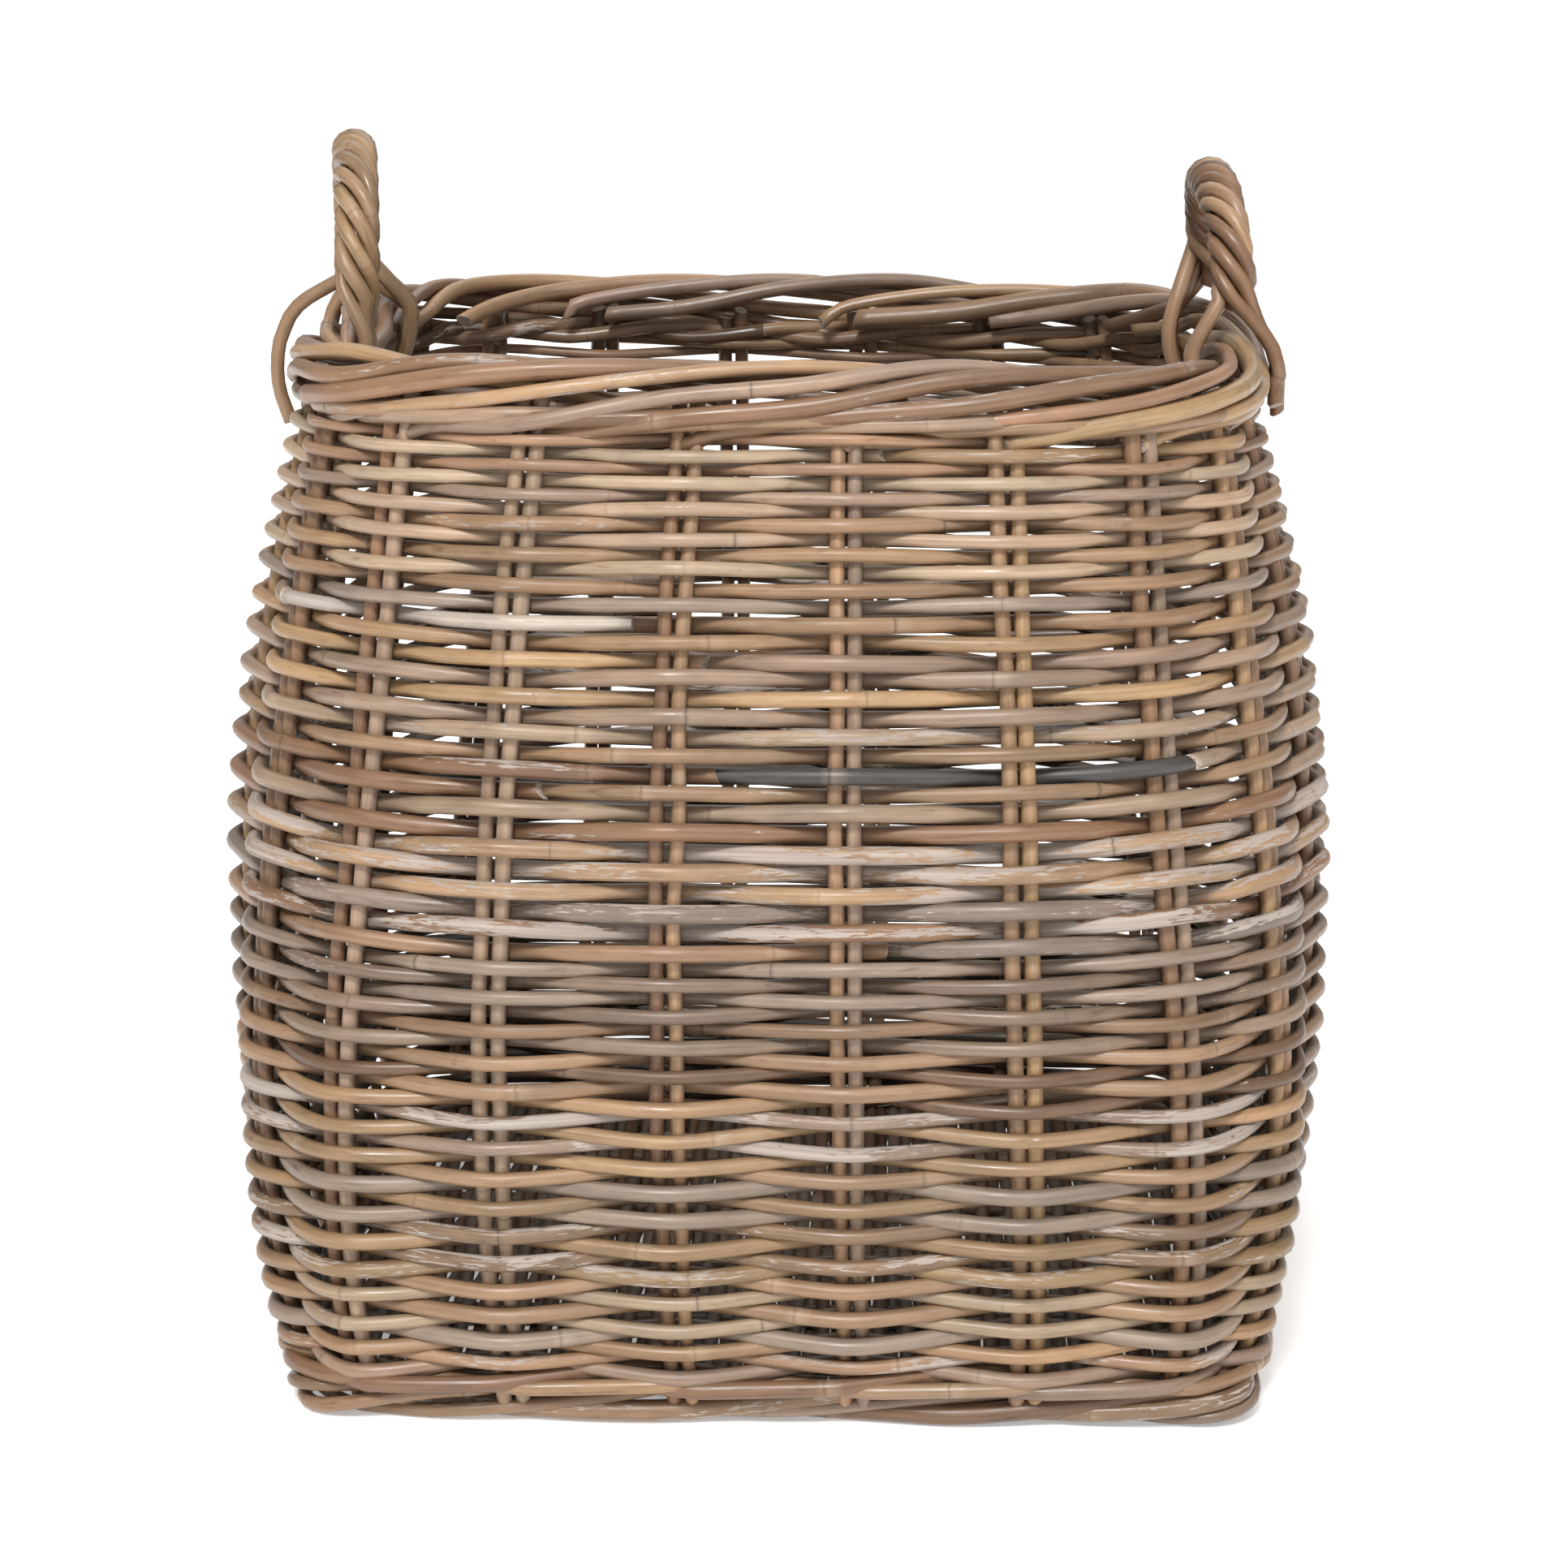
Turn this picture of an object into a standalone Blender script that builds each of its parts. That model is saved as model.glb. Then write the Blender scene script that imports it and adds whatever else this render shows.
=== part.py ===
"""Square-plan rattan log basket with two rope handles, built from separate woven sub-parts.

Metres, +Z up. The origin is on the floor under the middle of the basket. -Y is the front, and the
handles stand on the -X and +X sides. Places round the wall are given as stations: station 0 is the
middle of the front, each side is six stations long, and a stake pair stands at every half station.
"""

import math

import bmesh
import bpy
import numpy as np

# Overall shape
RIM_TOP = 0.502
STAKES_PER_SIDE = 6
SIDE_COUNT = 4
WALL_HALF_THICKNESS = 0.012
# Height, and half the width across the flats at the outside of the weave
WALL_PROFILE = (
    (0.000, 0.2352),
    (0.020, 0.2427),
    (0.050, 0.2505),
    (0.100, 0.2600),
    (0.200, 0.2716),
    (0.300, 0.2713),
    (0.400, 0.2547),
    (0.502, 0.2278),
)
# Height, and the exponent of the rounded square: 2 is a circle and a large one is a square
SQUARENESS = ((0.0, 9.2), (0.275, 3.3), (0.502, 4.6))
# Height, and how far the stakes spread from the middle of each side compared with even spacing
STAKE_SPREAD = ((0.0, 1.07), (0.26, 0.93), (0.502, 0.98))
# Height, and how far round the wall the stakes have crept there, in stations
STAKE_CREEP = ((0.0, 0.0), (0.26, -0.066), (0.502, 0.0))
# The rim dips to +X, as the finished basket settles: height lost per metre of X at the rim
RIM_DIP = 0.0133

# Canes
STAKE_RADIUS = 0.004
BORDER_CANE_RADIUS = 0.0055
HANDLE_STRAND_RADIUS = 0.0041
BOW_RADIUS = 0.0025
BASE_STICK_RADIUS = 0.004
CLEARANCE = 0.0003

# Side weave
FOOT_HEIGHT = 0.0155
FOOT_BELLY_HEIGHT = 0.008
FOOT_SOLE_HALF_WIDTH = 0.009
FOOT_BELLY_HALF_WIDTH = 0.0115
FOOT_TOP_HALF_WIDTH = 0.008
UPSETT_BOTTOM = 0.0165
SIDING_BOTTOM = 0.033
SIDING_TOP = 0.463
SIDING_BANDS = 13
BAND_INNER_FACE = 0.005
WALE_EXTRA = 0.001
BAND_FLAT_HALF_WIDTH = 0.010
STAKE_RINGS = 11

# Rolled border
BORDER_CANES = 3
BORDER_HELIX_RADIUS = 0.0067
BORDER_TURNS = 4
BORDER_POINTS = 48
BORDER_HALF_HEIGHT = BORDER_HELIX_RADIUS + BORDER_CANE_RADIUS
TOP_OF_WALL = RIM_TOP - 2 * BORDER_HALF_HEIGHT - 4 * CLEARANCE

# Woven base
BASE_HEIGHT = 0.020
BASE_HALF_WIDTH = 0.215
BASE_STICK_PLACES = (-0.135, -0.045, 0.045, 0.135)
BASE_WEAVE_THICKNESS = 0.006
BASE_WEAVE_RISE = 0.0076
BASE_WEAVE_END = 0.208
BASE_WEAVE_EDGE = 0.015

# Handles: side name, station of the side's middle, top height, how far the front and the back foot
# stand out from the stake line, and how far the top leans out
HANDLES = (
    ("left", 18, 0.590, -0.012, 0.010, 0.000),
    ("right", 6, 0.580, 0.003, 0.003, -0.006),
)
HANDLE_FOOT_STATION = 1.1
HANDLE_FOOT_HEIGHT = 0.020
HANDLE_STRANDS = 4
HANDLE_TURNS = 3
HANDLE_HELIX_RADIUS = 0.0079
HANDLE_HELIX_POINTS = 25
ARCH_SAMPLES = 200
ARCH_ROUNDNESS = 0.83
# A strand's end: height from the top of the rim, and distance from the stake line
TAIL_ROUTE = ((-0.045, 0.0172), (-0.028, 0.0172), (-0.012, 0.0178), (0.002, 0.0150))
TAIL_SPREAD = 0.0086
# The bow's end inside the wall, in the same way
BOW_TAIL_ROUTE = ((-0.090, 0.016), (-0.050, 0.016), (-0.012, 0.016), (0.002, 0.014))

COLOURS = {
    "stake_cane": (0.33, 0.25, 0.17),
    "siding_cane": (0.37, 0.27, 0.175),
    "siding_cane_grey": (0.33, 0.27, 0.21),
    "border_cane": (0.35, 0.25, 0.16),
    "base_cane": (0.26, 0.20, 0.14),
    "handle_cane": (0.38, 0.25, 0.14),
}


def clear_scene():
    for existing in list(bpy.data.objects):
        bpy.data.objects.remove(existing, do_unlink=True)


def cane_material(name):
    found = bpy.data.materials.get(name)
    if found:
        return found
    made = bpy.data.materials.new(name)
    made.use_nodes = True
    shader = made.node_tree.nodes["Principled BSDF"]
    shader.inputs["Base Color"].default_value = (*COLOURS[name], 1.0)
    shader.inputs["Roughness"].default_value = 0.45
    shader.inputs["Metallic"].default_value = 0.0
    made.diffuse_color = (*COLOURS[name], 1.0)
    return made


def settled(point):
    """The point once the rim has dipped towards +X."""
    x, y, z = point
    return (x, y, z - RIM_DIP * x * z / RIM_TOP)


def smooth_value(pairs, height, degree):
    """The value at this height on the polynomial through the listed pairs."""
    heights, values = zip(*pairs)
    inside = min(max(height, heights[0]), heights[-1])
    return float(np.polyval(np.polyfit(heights, values, degree), inside))


def wall_frame(station, height):
    """A point of the stake line, with the directions along the wall and out of it."""
    station = station + smooth_value(STAKE_CREEP, height, 2)
    side = round(station / STAKES_PER_SIDE)
    place = (station - side * STAKES_PER_SIDE) / (STAKES_PER_SIDE / 2)
    spread = smooth_value(STAKE_SPREAD, height, 2) - 1
    angle = math.atan(place * (1 + spread * (1 - place**4))) + side * math.pi / 2
    half_width = smooth_value(WALL_PROFILE, height, 5) - WALL_HALF_THICKNESS
    exponent = smooth_value(SQUARENESS, height, 2)
    across, along = math.sin(angle), -math.cos(angle)
    reach = half_width / (abs(across) ** exponent + abs(along) ** exponent) ** (1 / exponent)
    slope_x = math.copysign(abs(across) ** (exponent - 1), across)
    slope_y = math.copysign(abs(along) ** (exponent - 1), along)
    outward = np.array([slope_x, slope_y, 0.0]) / math.hypot(slope_x, slope_y)
    sideways = np.array([-outward[1], outward[0], 0.0])
    return np.array([reach * across, reach * along, height]), sideways, outward


def wall_point(station, height, out=0.0, aside=0.0):
    point, sideways, outward = wall_frame(station, height)
    return point + out * outward + aside * sideways


def add_loft(name, rings, material, closed):
    """One solid through rings of the same number of points, joined end to end or capped."""
    mesh = bmesh.new()
    loops = [[mesh.verts.new(settled(point)) for point in ring] for ring in rings]
    count = len(loops[0])
    pairs = list(zip(loops, loops[1:] + loops[:1])) if closed else list(zip(loops, loops[1:]))
    for first, second in pairs:
        for i in range(count):
            j = (i + 1) % count
            mesh.faces.new((first[i], first[j], second[j], second[i]))
    if not closed:
        mesh.faces.new(loops[0])
        mesh.faces.new(loops[-1])
    bmesh.ops.recalc_face_normals(mesh, faces=mesh.faces)
    data = bpy.data.meshes.new(name)
    mesh.to_mesh(data)
    mesh.free()
    data.materials.append(cane_material(material))
    made = bpy.data.objects.new(name, data)
    bpy.context.scene.collection.objects.link(made)
    return made


def add_cane(name, path, radius, material, closed=False):
    """A round cane along the path, as a curve with a six-sided bevel."""
    data = bpy.data.curves.new(name, "CURVE")
    data.dimensions = "3D"
    data.bevel_depth = radius
    data.bevel_resolution = 1
    data.use_fill_caps = True
    spline = data.splines.new("POLY")
    spline.points.add(len(path) - 1)
    for point, place in zip(spline.points, path):
        point.co = (*settled(place), 1.0)
    spline.use_cyclic_u = closed
    spline.use_smooth = True
    data.materials.append(cane_material(material))
    made = bpy.data.objects.new(name, data)
    bpy.context.scene.collection.objects.link(made)
    return made


def build_stake_pairs():
    """Two canes side by side, drawn as one hourglass section, at every half station."""
    bottom = FOOT_HEIGHT + 2 * CLEARANCE
    waist = STAKE_RADIUS / 2
    outline = ((-2, 0), (-1, 1), (0, 0.5), (1, 1), (2, 0), (1, -1), (0, -0.5), (-1, -1))
    for number in range(SIDE_COUNT * STAKES_PER_SIDE):
        rings = []
        for height in np.linspace(bottom, TOP_OF_WALL, STAKE_RINGS):
            ring = []
            for aside, out in outline:
                depth = math.copysign(waist, out) if aside == 0 else out * STAKE_RADIUS
                ring.append(wall_point(number + 0.5, height, depth, aside * STAKE_RADIUS))
            rings.append(ring)
        add_loft(f"stake_pair_{number + 1:02d}", rings, "stake_cane", closed=False)


def add_woven_ring(name, bottom, top, starts_outside, face, material):
    """A ring of weave that passes outside one stake pair and inside the next."""
    rings = []
    for number in range(SIDE_COUNT * STAKES_PER_SIDE):
        outside = (number % 2 == 0) == starts_outside
        inner, outer = (BAND_INNER_FACE, face) if outside else (-face, -BAND_INNER_FACE)
        section = ((inner, bottom), (outer, bottom), (outer, top), (inner, top))
        for aside in (-BAND_FLAT_HALF_WIDTH, BAND_FLAT_HALF_WIDTH):
            ring = [wall_point(number + 0.5, height, depth, aside) for depth, height in section]
            rings.append(ring)
    add_loft(name, rings, material, closed=True)


def build_side_weave():
    face = WALL_HALF_THICKNESS
    top = SIDING_BOTTOM - CLEARANCE
    add_woven_ring("upsett_wale", UPSETT_BOTTOM, top, True, face + WALE_EXTRA, "border_cane")
    edges = np.linspace(SIDING_BOTTOM, SIDING_TOP, SIDING_BANDS + 1)
    for number, (bottom, top) in enumerate(zip(edges, edges[1:])):
        name = f"siding_band_{number + 1:02d}"
        material = "siding_cane" if number % 2 else "siding_cane_grey"
        add_woven_ring(name, bottom, top - CLEARANCE, number % 2 == 1, face, material)
    starts_outside = SIDING_BANDS % 2 == 1
    add_woven_ring("top_wale", SIDING_TOP, TOP_OF_WALL, starts_outside, face, "border_cane")


def build_foot_border():
    """The plaited border under the wall, with the flat underside that the basket stands on."""
    section = (
        (-FOOT_SOLE_HALF_WIDTH, 0.0),
        (FOOT_SOLE_HALF_WIDTH, 0.0),
        (FOOT_BELLY_HALF_WIDTH, FOOT_BELLY_HEIGHT),
        (FOOT_TOP_HALF_WIDTH, FOOT_HEIGHT),
        (-FOOT_TOP_HALF_WIDTH, FOOT_HEIGHT),
        (-FOOT_BELLY_HALF_WIDTH, FOOT_BELLY_HEIGHT),
    )
    stations = np.arange(0, SIDE_COUNT * STAKES_PER_SIDE, 0.5)
    rings = []
    for station in stations:
        rings.append([wall_point(station, height, depth) for depth, height in section])
    add_loft("foot_border", rings, "border_cane", closed=True)


def build_rolled_border():
    """Three canes that twist round each other along the mouth of the basket."""
    height = RIM_TOP - BORDER_HALF_HEIGHT
    for number in range(BORDER_CANES):
        path = []
        for share in np.arange(BORDER_POINTS) / BORDER_POINTS:
            turn = math.tau * (BORDER_TURNS * share + number / BORDER_CANES)
            station = share * SIDE_COUNT * STAKES_PER_SIDE
            point = wall_point(station, height, BORDER_HELIX_RADIUS * math.cos(turn))
            path.append(point + np.array([0, 0, BORDER_HELIX_RADIUS * math.sin(turn)]))
        add_cane(f"rim_border_cane_{number + 1}", path, BORDER_CANE_RADIUS, "border_cane", closed=True)


def base_half_length(place):
    """Half the length of the base across X, at this Y, inside the rounded square of the wall."""
    exponent = SQUARENESS[0][1]
    return BASE_HALF_WIDTH * (1 - abs(place / BASE_HALF_WIDTH) ** exponent) ** (1 / exponent)


def build_base():
    """Sticks that lie left to right, and the mat that weaves over one and under the next."""
    for number, place in enumerate(BASE_STICK_PLACES):
        path = [(x, place, BASE_HEIGHT) for x in (-BASE_HALF_WIDTH, 0.0, BASE_HALF_WIDTH)]
        add_cane(f"base_stick_{number + 1}", path, BASE_STICK_RADIUS, "base_cane")
    rows = [(-BASE_WEAVE_END, 0.0), (-BASE_WEAVE_END + BASE_WEAVE_EDGE, 0.0)]
    for number, place in enumerate(BASE_STICK_PLACES):
        rise = BASE_WEAVE_RISE if number % 2 else -BASE_WEAVE_RISE
        rows += [(place - BAND_FLAT_HALF_WIDTH, rise), (place + BAND_FLAT_HALF_WIDTH, rise)]
    rows += [(BASE_WEAVE_END - BASE_WEAVE_EDGE, 0.0), (BASE_WEAVE_END, 0.0)]
    rings = []
    for place, rise in rows:
        reach = base_half_length(place)
        low = BASE_HEIGHT + rise - BASE_WEAVE_THICKNESS / 2
        high = low + BASE_WEAVE_THICKNESS
        corners = ((-reach, low), (reach, low), (reach, high), (-reach, high))
        rings.append([(x, place, height) for x, height in corners])
    add_loft("base_weave", rings, "base_cane", closed=False)


def length_shares(points):
    """How far along the line each point is, from 0 to 1."""
    steps = np.linalg.norm(np.diff(points, axis=0), axis=1)
    return np.concatenate([[0], np.cumsum(steps)]) / steps.sum()


def arch_frames(middle, top, foot_outs, lean):
    """Points of a handle's centre line from foot to foot, each with its up-the-rope and out directions."""
    foot_height = RIM_TOP + HANDLE_FOOT_HEIGHT
    feet = []
    for sign, out in zip((-1, 1), foot_outs):
        feet.append(wall_point(middle + sign * HANDLE_FOOT_STATION, foot_height, out))
    outward = wall_frame(middle, foot_height)[2]
    rise = top - foot_height - HANDLE_HELIX_RADIUS - HANDLE_STRAND_RADIUS
    arch = []
    for angle in np.linspace(0, math.pi, ARCH_SAMPLES):
        cosine, sine = math.cos(angle), math.sin(angle)
        share = (1 - math.copysign(abs(cosine) ** ARCH_ROUNDNESS, cosine)) / 2
        lift = rise * abs(sine) ** ARCH_ROUNDNESS
        point = (1 - share) * feet[0] + share * feet[1] + lean * sine * outward
        arch.append(point + np.array([0, 0, lift]))
    arch = np.array(arch)
    shares = length_shares(arch)
    even = np.linspace(0, 1, HANDLE_HELIX_POINTS)
    centre = np.stack([np.interp(even, shares, arch[:, axis]) for axis in range(3)], axis=1)
    forward = np.gradient(centre, axis=0)
    forward /= np.linalg.norm(forward, axis=1)[:, None]
    across = np.cross(forward, outward)
    across /= np.linalg.norm(across, axis=1)[:, None]
    return centre, across, np.cross(across, forward)


def strand_tail(station, sign, aside):
    """Knots of a strand's end, from low on the wall up past the rim. sign is 1 outside, -1 inside."""
    return [wall_point(station, RIM_TOP + rise, sign * out, aside) for rise, out in TAIL_ROUTE]


def bow_tail(station):
    """Knots of the bow's end, from inside the wall up past the rim."""
    return [wall_point(station, RIM_TOP + rise, -out) for rise, out in BOW_TAIL_ROUTE]


def build_handle(name, middle, top, front_out, back_out, lean):
    """A bow wrapped by four strands. Each foot passes two strands over the rim and two inside it."""
    front_first = middle == STAKES_PER_SIDE
    foot_outs = (front_out, back_out) if front_first else (back_out, front_out)
    centre, across, outward = arch_frames(middle, top, foot_outs, lean)
    first, last = middle - HANDLE_FOOT_STATION, middle + HANDLE_FOOT_STATION
    bow = [*bow_tail(first), *centre, *reversed(bow_tail(last))]
    add_cane(f"handle_{name}_bow", bow, BOW_RADIUS, "handle_cane")
    shares = np.linspace(0, 1, HANDLE_HELIX_POINTS)
    for number in range(HANDLE_STRANDS):
        start = math.tau * (number + 0.5) / HANDLE_STRANDS
        turns = start - math.tau * HANDLE_TURNS * shares
        helix = centre + HANDLE_HELIX_RADIUS * (
            np.cos(turns)[:, None] * outward + np.sin(turns)[:, None] * across
        )
        sign = math.copysign(1, math.cos(start))
        aside = math.copysign(TAIL_SPREAD, math.sin(start))
        last_tail = reversed(strand_tail(last, sign, -aside))
        path = [*strand_tail(first, sign, aside), *helix, *last_tail]
        add_cane(f"handle_{name}_strand_{number + 1}", path, HANDLE_STRAND_RADIUS, "handle_cane")


def main():
    clear_scene()
    build_foot_border()
    build_base()
    build_stake_pairs()
    build_side_weave()
    build_rolled_border()
    for handle in HANDLES:
        build_handle(*handle)


main()
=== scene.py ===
"""The looks of the wicker log basket: every cane of it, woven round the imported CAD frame.

Metres, +Z up, in the frame of the CAD. The lines of the 24 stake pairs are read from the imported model, and
all else is woven on them. Places round the wall are given as stations: station 0 is the middle of the front,
there are 24 stations anticlockwise from above, and a stake pair stands at every half station.
"""

import itertools
import math

import bpy
import numpy as np
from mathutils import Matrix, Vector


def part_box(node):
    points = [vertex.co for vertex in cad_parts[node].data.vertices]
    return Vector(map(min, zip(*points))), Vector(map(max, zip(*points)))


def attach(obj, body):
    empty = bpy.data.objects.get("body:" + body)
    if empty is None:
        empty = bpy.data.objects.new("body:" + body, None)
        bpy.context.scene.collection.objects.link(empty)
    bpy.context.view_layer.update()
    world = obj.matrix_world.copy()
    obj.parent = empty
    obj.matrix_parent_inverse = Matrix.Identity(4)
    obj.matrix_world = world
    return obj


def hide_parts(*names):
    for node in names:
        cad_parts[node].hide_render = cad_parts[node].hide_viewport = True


BODY = "root"
STAKE_PAIRS = 24
# Rings of a CAD stake pair's points, and the degree of the curve through their middles
STAKE_RINGS = 11
STAKE_FIT_DEGREE = 5
SIDING_BANDS = 13
SIDES = ("front", "right", "back", "left")
SEEDS = {"stakes": 11, "siding": 23, "wales": 31, "borders": 37, "base": 41, "handles": 53}
UPWARD = (0.0, 0.0, 1.0)

# Stakes
STAKE_RADIUS = 0.0038
STAKE_FOOT = 0.0075
STAKE_FOOT_SCATTER = 0.003
# How far a stake goes on above the CAD's, into the rolled rim
STAKE_END = 0.008
STAKE_STEP = 0.006
# Half the gap between a pair's two canes, and what a pair may add to it
STAKE_GAP = 0.0002
STAKE_SPREAD = 0.0005
# How a stake wavers along the wall, and how it wavers out of it: length of a bend and its size
STAKE_WAVER = (0.05, 0.0004)
STAKE_DEPTH_WAVER = (0.06, 0.0003)
STAKE_SIZES = (0.90, 1.05)
STAKE_PEEL = (0.0, 0.0, 0.3)
# Painted shade on the inner side of a stake's cane
STAKE_PAINTED_SHADE = 0.6

# Canes
RING_SIDES = 12
RING_SPACING = 0.0065
SCATTER = 0.10
CANE_TAPER = 0.06
# A cane's slow change of girth: its size, and its rate in radians to the metre
CANE_RIPPLE = 0.012
RIPPLE_RATES = (60, 120)
MOST_OVAL = 0.05
FEWEST_RINGS = 4
# A cane's direction is taken over twice this length
HALF_CHORD = 0.003
WORN_EDGE_SHARE = 0.88
WORN_EDGE_DEPTH = 0.0004
# How much each end slants: its lean over its radius
PLAIN_CUTS = (0.3, 0.3)
WALL_SLANT, BORDER_SLANT, HANDLE_SLANT = 0.8, 0.7, 0.6
# Lengths from a cane's start to its first node, between nodes, and at least from a node to the end
FIRST_NODE = (0.01, 0.20)
NODE_GAPS = (0.14, 0.42)
NODE_MARGIN = 0.01
NODE_DARKNESS = (0.15, 0.3, 0.5, 0.9)
# Along the cane from a node's middle, the girth there, and how dark and how pale the bark is
NODE_PROFILE = (
    (-0.0042, 1.000, 0.00, 0.00),
    (-0.0018, 1.015, 0.05, 0.30),
    (-0.0005, 1.050, 0.25, 0.30),
    (0.0000, 1.010, 1.00, 0.00),
    (0.0005, 1.045, 0.35, 0.10),
    (0.0020, 1.015, 0.08, 0.60),
    (0.0060, 1.000, 0.00, 0.30),
    (0.0090, 1.000, 0.00, 0.00),
)

# Handles: how far each foot stands from the side's middle in stations, and above the rim
HANDLE_REACH = 1.1
HANDLE_FOOT_HEIGHT = 0.020
ROPE_FOOT_HEIGHT = 0.009
ARCH_FIT_DEGREE = 8
ARCH_FIT_MARGIN = 0.008
ARCH_POINTS = 200
ROPE_KNOTS = 44
ROPE_STRANDS = 5
ROPE_TWIST = -math.tau * 3.4
ROPE_HELIX_RADIUS = 0.0076
STRAND_RADIUS = 0.0037
STRAND_SIZES = (0.93, 1.05)
ROPE_CORE_RADIUS = 0.0040
# Angles of the strands round the rope at the front foot
ROPE_STARTS = 0.2 + math.tau * np.arange(ROPE_STRANDS) / ROPE_STRANDS
ROPE_STEPS = 6
# A strand's slow change of distance from the rope's middle: its size and its rate
ROPE_SWELL = 0.02
ROPE_SWELL_RATE = 7
# How far out of the rope's middle a tail begins
TAIL_START = 0.008
# From a tail's low end to its top: its distance from the wall's middle, and its share of the bow
TAIL_CLEARANCE = (0.0150, 0.0178, 0.0200, 0.0195, 0.0160)
TAIL_BOW = (-1.2, 0.5, 1.0, 1.0, 0.5)
# The cross product with it turns a strand's direction into its bright side
ROPE_BACKWARD = (0.0, 1.0, 0.15)
RIGHT_HANDLE_LIFT = 0.003

# Bark colours, and how often each is met
TAN = (0.300, 0.186, 0.108)
GOLD = (0.335, 0.210, 0.112)
PALE = (0.385, 0.275, 0.182)
MAUVE = (0.270, 0.186, 0.130)
GREY = (0.265, 0.199, 0.149)
BROWN = (0.205, 0.116, 0.065)
CHARCOAL = (0.060, 0.052, 0.048)
BLEACHED = (0.560, 0.470, 0.390)
# Height, and how much painted shade darkens the inner side of the wall there
INNER_PAINTED_SHADE = ((0.05, 0.86), (0.20, 0.78), (0.30, 0.58), (0.40, 0.42), (0.50, 0.36))
SIDING_BARK = ((TAN, 5), (GOLD, 3), (PALE, 1.2), (MAUVE, 3), (GREY, 1), (BROWN, 2))
STAKE_BARK = ((TAN, 4), (GOLD, 1.5), (MAUVE, 2), (BROWN, 2.5))
BORDER_BARK = ((TAN, 4), (GOLD, 2.5), (MAUVE, 2), (BROWN, 2.5), (GREY, 0.6))
HANDLE_BARK = ((GOLD, 2), (TAN, 4), (BROWN, 2.5))
BASE_BARK = ((GREY, 3), (BROWN, 2), (TAN, 1))

# The base: sticks of three rods from side to side, and strands over and under them from front to back
BASE_STICKS = 4
BASE_ROD_RADIUS = 0.0034
BASE_ROD_STEP = 0.0072
BASE_ROD_KNOTS = 30
BASE_STRANDS = 64
BASE_STRAND_RADIUS = 0.0036
BASE_STRAND_SIDES = 10
BASE_HALF_WIDTH = 0.2125
BASE_REACH = 0.2185
BASE_WAVE = 0.0062
BASE_STEPS = 14
# How the rods and the strands waver: length of a bend and its size
BASE_ROD_WAVER = (0.08, 0.0005)
BASE_STRAND_WAVER = (0.1, 0.0004)
# From here out to the corner, strands get shorter by up to this share
BASE_CORNER_START = 0.18
BASE_CORNER_WIDTH = 0.033
BASE_CORNER_INSET = 0.10

# Wales and borders
WALE_RODS = 3
WALE_PEEL = (0, 0, 0.4)
# Painted shade on the inner side of a wale rod
WALE_PAINTED_SHADE = 0.4
WALE_SIZES = (0.90, 1.08)
# In stations: between a rod's points, and how far each rod goes on past its two ends
WALE_STEP = 0.05
WALE_OVERLAP = 0.25
WALE_GAP = 0.0003
# The share of a rod's round that it takes to fall back, on either side
WALE_FALL = 0.12
# Piece, its CAD node, and its height, thickness, rise and brightness
WALES = (
    ("upsett_rods", "upsett_wale", 0.0235, 0.0040, 0.0085, 0.86),
    ("top_rods", "top_wale", 0.4715, 0.0037, 0.0080, 1.0),
)
BORDER_PEEL = (0, 0, 0, 0.45)
# Painted shade on the inner side of a border cane
BORDER_PAINTED_SHADE = 0.36
# Cane thicknesses in the rim and the foot, as shares of their radius
BORDER_SIZES = (0.78, 0.88, 0.97, 1.06, 1.25)
RIM_NODES = ("rim_border_cane_1", "rim_border_cane_2", "rim_border_cane_3")
RIM_CANE_RADIUS, RIM_SHADE = 0.0044, 1.20
FOOT_CANE_RADIUS, FOOT_SHADE = 0.0041, 0.80
# How far a cane strays from its route in stations and in metres, and how far its last knot does
STATION_SCATTER = 0.12
PLACE_SCATTER = 0.0012
END_SCATTER = 0.5
BORDER_STEPS = 14
# How far the foot's corners stand out, and its sides in
FOOT_CORNER_REACH = 0.0130
FOOT_CORNER_WIDTH = 0.6
FOOT_SIDE_INSET = 0.0045
# The least height of a foot cane's middle, in its own radius
FOOT_CLEARANCE = 1.1
# From the middle of the rolled rim to its top, and how far that is under the CAD's top
RIM_HALF_HEIGHT = 0.0150
RIM_DROP = 0.0035
# How much higher the rim is at the back than at the sides, and the size of its unevenness
RIM_BACK_RISE = 0.0016
RIM_UNEVENNESS = 0.0009

# Height, and the rise from one round of a weaver to its next
ROUND_RISE = (
    (0.030, 0.0126),
    (0.070, 0.0136),
    (0.150, 0.0141),
    (0.222, 0.0144),
    (0.238, 0.0178),
    (0.280, 0.0182),
    (0.300, 0.0174),
    (0.345, 0.0168),
    (0.395, 0.0156),
    (0.412, 0.0136),
    (0.440, 0.0124),
    (0.485, 0.0120),
)
FIRST_ROUND = 0.0285
LAST_ROUND = 0.4655
STARTING_TURN = -0.5
# How far the first of the two weavers is ahead of the second, in rounds
FIRST_WEAVER_LEAD = 0.5
WEAVE_RIPPLE = 0.0007
# Height, and how thick the weavers are there
WEAVER_RADIUS = (
    (0.030, 0.0037),
    (0.170, 0.0038),
    (0.205, 0.0034),
    (0.225, 0.0034),
    (0.242, 0.0040),
    (0.280, 0.0041),
    (0.330, 0.0038),
    (0.380, 0.0036),
    (0.420, 0.0031),
    (0.460, 0.0029),
)
# Height, and how far a weaver is above its own line where it passes outside a pair
OUTSIDE_LIFT = (
    (0.030, 0.0),
    (0.120, -0.0004),
    (0.190, 0.0),
    (0.240, 0.0018),
    (0.300, 0.0011),
    (0.350, 0.0002),
    (0.400, -0.0005),
    (0.480, -0.0011),
)
# Height, and how bright the bark is there
BARK_SHADE = ((0.03, 0.90), (0.20, 0.91), (0.27, 1.0), (0.48, 1.03))
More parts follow.
